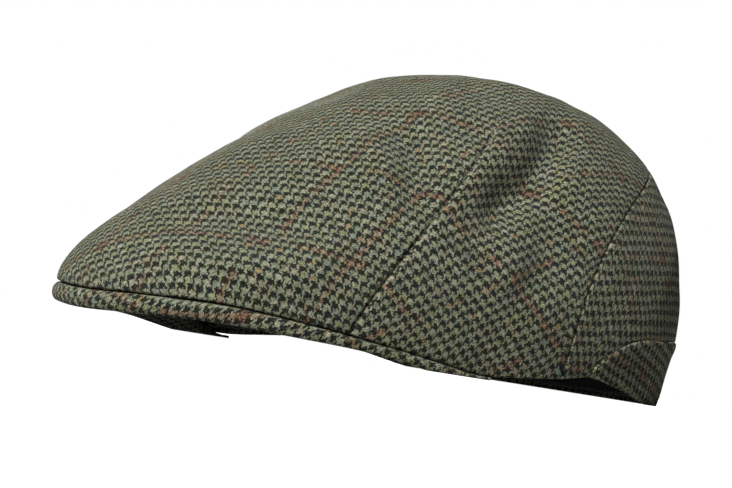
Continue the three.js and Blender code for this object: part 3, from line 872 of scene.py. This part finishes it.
def wall(name, node, even, low, high, top_radius, low_radius, proud, cut, rows):
    """A cloth wall between two lines given as up at each column, with turned edges."""
    shape = Shape()
    azimuth, _ = seam_start(even)
    share = crowded(0, 1, 1 / rows, [(0, 0.2 / rows, 0.04), (1, 0.2 / rows, 0.04)])
    up = low[:, None] + (high - low)[:, None] * share
    azimuth = np.repeat(azimuth[:, None], len(share), 1)
    base = cloth_point(azimuth, up)
    normal = outward(cloth_point, azimuth, up)
    near_top, _ = distance_to(base, base[:, -1])
    near_low, _ = distance_to(base, base[:, 0])
    sink = np.maximum(rounding(near_top, top_radius), rounding(near_low, low_radius))
    swell = soft_waves(base) * smoothstep(np.minimum(near_top, near_low), 1, 14)
    outer = base + normal * (swell + proud(near_top, near_low) - sink)[..., None]
    inner_sink = np.maximum(rounding(near_top, 1.0), rounding(near_low, 1.0))
    inner = base + normal * (swell - CLOTH + inner_sink)[..., None]
    inner[:, [0, -1]] = outer[:, [0, -1]]
    inner[[0, -1]] = outer[[0, -1]]
    outside = shape.add(outer)
    inside = shape.add(inner)
    inside[:, [0, -1]] = outside[:, [0, -1]]
    inside[[0, -1]] = outside[[0, -1]]
    columns = np.linspace(0, len(even) - 1, WALL_COLUMNS + 1)
    flat_rows = np.linspace(0, len(share) - 1, WALL_ROWS + 1)
    coarse = resampled(base, columns, flat_rows)
    around = run_along(coarse[:, 0])
    climb = run_along(coarse.swapaxes(0, 1)).T
    layout = np.stack([np.repeat(around[:, None], WALL_ROWS + 1, 1), climb], -1)
    index = np.arange(climb.size).reshape(climb.shape)
    flat = laid_flat(coarse.reshape(-1, 3), layout.reshape(-1, 2), grid_links(index), [], WALL_ROUNDS)
    flat = flat.reshape(layout.shape)
    foot = flat[WALL_COLUMNS // 2, 0]
    middle = flat[WALL_COLUMNS // 2, -1] - foot
    flat = turned(flat - foot, -math.degrees(math.atan2(middle[0], middle[1])))
    fine_columns = np.arange(len(even)) / (len(even) - 1) * WALL_COLUMNS
    fine_rows = np.arange(len(share)) / (len(share) - 1) * WALL_ROWS
    fine = resampled(flat, fine_columns, fine_rows)
    cloth = turned(fine, cut[0]) + cut[1]
    chart = fitted(fine, (0.01, 0.01), (0.99, 0.49))
    shape.skin(outside, cloth, chart)
    shape.skin(inside, cloth, chart + [0, 0.5], flip=True)
    finish_piece(shape.mesh(name, TWEED), [node])


def flush(near_top, near_low):
    return 0 * near_top


def ridge_under_the_top(near_top, near_low):
    """The band stands 0.7 mm proud 2 mm below its upper edge."""
    return 0.7 * np.exp(-((near_top - 2) / 3.0) ** 2) * smoothstep(near_low, 0, 4)


def back_panel():
    ends = [(-88.5, 0.35, 4.0), (88.5, 0.35, 4.0)]
    even = crowded(-SEAM_HALF_SPAN + 0.4, SEAM_HALF_SPAN - 0.4, MESH_STEP, ends)
    azimuth, high = seam_start(even)
    low = np.minimum(band_up(azimuth), high * 0.9)
    wall("back_panel_cloth", "back_panel", even, low, high, 1.5, 0.7, flush, PANEL_CUT, 50)


def back_band():
    trial = np.linspace(-90, 90, 2001)
    even = np.interp(crowded(-BAND_REACH, BAND_REACH, 1.2, []), seam_start(trial)[0], trial)
    azimuth, _ = seam_start(even)
    high = np.maximum(band_up(azimuth), 0.002)
    low = 0 * high
    wall("back_band_cloth", "back_band", even, low, high, 0.7, 1.0, ridge_under_the_top, BAND_CUT, 16)


# ---- Peak ----
def peak():
    shape = Shape()
    azimuth = np.linspace(PEAK_END_AZIMUTH, 360 - PEAK_END_AZIMUTH, 273)
    turn = np.radians(azimuth)
    inner = rim_radius(azimuth) - 2.3
    outer = rounded(rim_radius(azimuth), peak_radius(azimuth))
    edge = edge_lift(azimuth) - GAP
    round_edge = np.minimum(edge / 2, 2.6)
    floor_z = section(azimuth, "edge")
    width = outer - inner
    climb = smoothstep(width, 5, 18)
    rim_z = floor_z + (section(azimuth, "rim") - floor_z) * climb
    inner_thick = edge + (np.minimum(PEAK_INNER_THICKNESS, edge) - edge) * climb
    profile = []
    steps = 12
    for side in (0, 1):
        order = range(steps + 1) if side == 0 else range(steps, -1, -1)
        if side == 1:
            for j in range(1, 12):
                bend = math.radians(-90 + j * 15)
                r = outer - round_edge + round_edge * math.cos(bend)
                profile.append((r, floor_z + edge / 2 * (1 + math.sin(bend))))
        for j in order:
            r = inner + (outer - round_edge - inner) * j / steps
            level = np.clip((r - inner) / np.maximum(width - PEAK_SEAM_LAND, 1), 0, 1)
            thick = inner_thick + (edge - inner_thick) * level
            low = rim_z + (floor_z - rim_z) * level
            profile.append((r, low + side * thick))
    profile.append(profile[0])
    r = np.stack([p[0] for p in profile], 1)
    z = np.stack([p[1] for p in profile], 1)
    points = np.stack([r * np.sin(turn)[:, None], r * np.cos(turn)[:, None], z], -1)
    numbers = shape.add(points)
    numbers[:, -1] = numbers[:, 0]
    # The cover's cloth is cut flat and wraps round the edge, so it runs on past the outline.
    run = run_along(points.swapaxes(0, 1)).T
    reach = inner[:, None] + run
    cloth = np.stack([reach * np.sin(turn)[:, None], reach * np.cos(turn)[:, None]], -1)
    cloth = turned(cloth, PEAK_CUT[0]) + PEAK_CUT[1]
    around = run_along(points[:, 20])
    chart = np.stack([np.repeat(around[:, None], points.shape[1], 1), run], -1)
    chart = fitted(chart, (0.01, 0.01), (0.99, 0.99))
    shape.skin(numbers, cloth, chart, flip=True)
    for end in (0, -1):
        ring = numbers[end]
        half = len(profile) // 2
        lower = ring[:half]
        upper = ring[::-1][:half]
        cap = np.stack([lower, upper])
        flat = np.stack([cloth[end][:half], cloth[end][::-1][:half]])
        corner = np.stack([chart[end][:half], chart[end][::-1][:half]])
        shape.skin(cap, flat, corner, flip=(end == 0))
    finish_piece(shape.mesh("peak_cover", TWEED), ["peak"])


# ---- Sweatband ----
def sweatband():
    shape = Shape()
    coarse = np.linspace(0, 360, 1441)
    outline = rim_radius(coarse) - EDGE_INSET - CLOTH - GAP
    x = outline * np.sin(np.radians(coarse))
    y = outline * np.cos(np.radians(coarse))
    run = np.concatenate([[0], np.cumsum(np.hypot(np.diff(x), np.diff(y)))])
    ribs = int(run[-1] / RIB)
    around = np.linspace(0, run[-1], ribs * 4 + 1)
    azimuth = np.interp(around, run, coarse)
    rise = np.array([0, 0.02, 0.06, 0.35, 0.65, 0.94, 0.98, 1.0])
    radius = np.interp(around, run, outline)
    low = section(azimuth, "rim") + SWEATBAND_ABOVE
    direction = np.stack([np.sin(np.radians(azimuth)), np.cos(np.radians(azimuth))], -1)
    ridge = 0.12 * (1 - np.cos(2 * np.pi * around / (run[-1] / ribs))) / 2
    # The ribbon's end lies over its start.
    lap = 0.5 * smoothstep(azimuth, 204, 204.6) * (1 - smoothstep(azimuth, 212, 212.3))

    def face(inset):
        r = (radius - inset)[:, None] + SWEATBAND_LEAN * rise
        z = low[:, None] + SWEATBAND_HEIGHT * rise
        return np.stack([r * direction[:, :1], r * direction[:, 1:], z], -1)

    edge = rounding(np.minimum(rise, 1 - rise) * SWEATBAND_HEIGHT, 0.5)
    visible = face(SWEATBAND_THICKNESS)
    visible -= np.concatenate([direction, 0 * direction[:, :1]], 1)[:, None] * (
        (ridge + lap)[:, None] - edge[None, :])[..., None]
    hidden = face(0)
    numbers = shape.add(visible)
    numbers[-1] = numbers[0]
    hidden_numbers = shape.add(hidden)
    hidden_numbers[-1] = hidden_numbers[0]
    cloth = np.stack([np.repeat((around * ribs * RIB / run[-1])[:, None], len(rise), 1),
                      np.repeat((rise * SWEATBAND_HEIGHT)[None, :], len(around), 0)], -1)
    # The long ribbon's chart is folded into rows that fill the image.
    strips = 12
    per = (len(around) - 1) // strips
    for k in range(strips):
        begin = k * per
        end = len(around) - 1 if k == strips - 1 else begin + per
        part = slice(begin, end + 1)
        u = (around[part] - around[begin]) / (run[-1] / strips * 1.02)
        chart = np.stack([np.repeat(u[:, None], len(rise), 1),
                          np.repeat(((k + 0.05 + 0.55 * rise) / strips)[None, :], len(u), 0)], -1)
        shape.skin(numbers[part], cloth[part], 0.005 + 0.99 * chart, flip=True)
        back = chart.copy()
        back[..., 1] = ((k + 0.65 + 0.3 * rise) / strips)[None, :]
        shape.skin(hidden_numbers[part], cloth[part], 0.005 + 0.99 * back)
        for j, flip in ((0, False), (-1, True)):
            lip = np.stack([numbers[part][:, j], hidden_numbers[part][:, j]], 1)
            place = np.stack([cloth[part][:, j], cloth[part][:, j]], 1)
            strip = np.stack([chart[:, j], chart[:, j]], 1)
            shape.skin(lip, place, 0.005 + 0.99 * strip, flip=flip)
    finish_piece(shape.mesh("sweatband_ribbon", RIBBON), ["sweatband"])


# ---- Stitches ----
def stitches(name, line, normals, stitch, material):
    """A row of short raised stitches along a line of points."""
    length, gap, radius = stitch
    shape = Shape()
    run = run_along(line)
    count = int(run[-1] / (length + gap))
    for i in range(count):
        start = (i + 0.1) * run[-1] / count
        t = np.linspace(0, 1, 7)
        at = start + t * length
        centre = np.stack([np.interp(at, run, line[:, k]) for k in range(3)], -1)
        up = unit(np.stack([np.interp(at, run, normals[:, k]) for k in range(3)], -1))
        along = unit(np.gradient(centre, axis=0))
        side = unit(np.cross(along, up))
        arch = np.sin(np.pi * t)
        centre = centre + up * (radius * (1.5 * arch - 0.7))[:, None]
        thick = radius * np.sqrt(np.clip(1 - (2 * t - 1) ** 4, 0.02, 1))
        turn = np.linspace(0, 2 * np.pi, 7)
        ring = (centre[:, None] + thick[:, None, None] * (
            side[:, None] * np.cos(turn)[:, None] + up[:, None] * np.sin(turn)[:, None]))
        numbers = shape.add(ring)
        numbers[:, -1] = numbers[:, 0]
        place = np.stack([np.repeat((t * length)[:, None], 7, 1),
                          np.repeat((turn * radius)[None], 7, 0)], -1)
        columns = math.ceil(math.sqrt(count))
        corner = np.array([i % columns, i // columns]) / columns
        chart = corner + place / [length, 2 * np.pi * radius] * 0.9 / columns
        shape.skin(numbers, place, chart, flip=True)
    finish_piece(shape.mesh(name, material), [])


def sweatband_stitches():
    azimuth = np.linspace(0, 360, 361)
    radius = rim_radius(azimuth) - EDGE_INSET - CLOTH - GAP - SWEATBAND_THICKNESS - 0.05
    direction = np.stack([np.sin(np.radians(azimuth)), np.cos(np.radians(azimuth)), 0 * azimuth], -1)
    line = direction * radius[:, None]
    line[:, 2] = section(azimuth, "rim") + SWEATBAND_ABOVE + 1.6
    stitches("sweatband_stitches", line, -direction, SWEATBAND_STITCH, DARK_THREAD)


def dart_stitches():
    """Short pale stitches behind each dart, and sparser ones in the back seam."""
    up = np.linspace(0.1, DART_TOP - 0.04, 160)
    for side, name in ((1, "left_dart_stitches"), (-1, "right_dart_stitches")):
        azimuth = side * (dart_azimuth(up) - 0.8)
        base = cloth_point(azimuth, up)
        normal = outward(cloth_point, azimuth, up)
        line = base + normal * (soft_waves(base) - 0.1)[:, None]
        stitches(name, line, normal, DART_STITCH, PALE_THREAD)
    azimuth, up = seam_start(np.linspace(-86, 86, 400))
    base = cloth_point(azimuth, up)
    normal = outward(cloth_point, azimuth, up)
    stitches("back_seam_stitches", base - normal * 0.9, normal, SEAM_STITCH, PALE_THREAD)


crown()
dart_stitches()
back_panel()
back_band()
peak()
sweatband()
sweatband_stitches()


# ---- Floor, light and camera ----
FLOOR_LIGHT = (0.1, 0.9)  # glow that lights the cap, and glow that the camera sees
WORLD_LIGHT = (0.06, 1.0)


def two_strengths(tree, light, socket):
    """Joins a strength to the socket that is lower for lighting than for the camera."""
    seen = tree.nodes.new("ShaderNodeLightPath").outputs["Is Camera Ray"]
    strength = tree.nodes.new("ShaderNodeMapRange")
    strength.inputs["To Min"].default_value = light[0]
    strength.inputs["To Max"].default_value = light[1]
    tree.links.new(seen, strength.inputs["Value"])
    tree.links.new(strength.outputs[0], socket)


def studio():
    bpy.ops.mesh.primitive_plane_add(size=60, location=(0, 0, -0.0001))
    floor = bpy.context.object
    floor.name = "floor"
    white = bpy.data.materials.new("floor_white")
    white.use_nodes = True
    shader = white.node_tree.nodes["Principled BSDF"]
    shader.inputs["Base Color"].default_value = rgb(0.35, 0.35, 0.35)
    shader.inputs["Roughness"].default_value = 1.0
    shader.inputs["Specular IOR Level"].default_value = 0.0
    # The floor is a light table: it looks paler to the camera than the light it throws on the cap.
    shader.inputs["Emission Color"].default_value = rgb(1, 1, 1)
    two_strengths(white.node_tree, FLOOR_LIGHT, shader.inputs["Emission Strength"])
    floor.data.materials.append(white)
    world = bpy.data.worlds.new("studio")
    world.use_nodes = True
    background = world.node_tree.nodes["Background"]
    background.inputs["Color"].default_value = rgb(1, 1, 1)
    two_strengths(world.node_tree, WORLD_LIGHT, background.inputs["Strength"])
    bpy.context.scene.world = world
    bpy.context.scene.view_settings.view_transform = "Standard"


def lamp(name, azimuth, elevation, strength, softness):
    """A distant soft light; azimuth runs from the front towards the wearer's left."""
    data = bpy.data.lights.new(name, "SUN")
    data.energy = strength
    data.angle = math.radians(softness)
    light = bpy.data.objects.new(name, data)
    bpy.context.scene.collection.objects.link(light)
    a = math.radians(azimuth)
    e = math.radians(elevation)
    source = Vector((math.sin(a) * math.cos(e), -math.cos(a) * math.cos(e), math.sin(e)))
    light.rotation_euler = source.to_track_quat("Z", "Y").to_euler()


def camera():
    azimuth = math.radians(CAMERA_AZIMUTH)
    target = Vector((0, SHIFT_Y / 1000, TARGET_HEIGHT))
    place = Vector((math.sin(azimuth) * CAMERA_DISTANCE,
                    -math.cos(azimuth) * CAMERA_DISTANCE + SHIFT_Y / 1000, CAMERA_HEIGHT))
    forward = (target - place).normalized()
    right = forward.cross(Vector((0, 0, 1))).normalized()
    up = right.cross(forward)
    c = math.cos(math.radians(CAMERA_ROLL))
    s = math.sin(math.radians(CAMERA_ROLL))
    right, up = c * right + s * up, c * up - s * right
    # The target stands right of and above the middle of the picture.
    forward = (forward - right * TARGET_RIGHT - up * TARGET_ABOVE).normalized()
    right = (right - forward * right.dot(forward)).normalized()
    up = right.cross(forward)
    data = bpy.data.cameras.new("camera")
    data.sensor_width = SENSOR
    data.lens = LENS
    data.clip_start = 0.01
    data.clip_end = 100
    eye = bpy.data.objects.new("camera", data)
    bpy.context.scene.collection.objects.link(eye)
    eye.matrix_world = Matrix((
        (right.x, up.x, -forward.x, place.x),
        (right.y, up.y, -forward.y, place.y),
        (right.z, up.z, -forward.z, place.z),
        (0, 0, 0, 1),
    ))
    bpy.context.scene.camera = eye


studio()
lamp("key", 24, 42, 7.0, 4)
lamp("back", -125, 10, 1.8, 8)
camera()

bpy.context.view_layer.update()
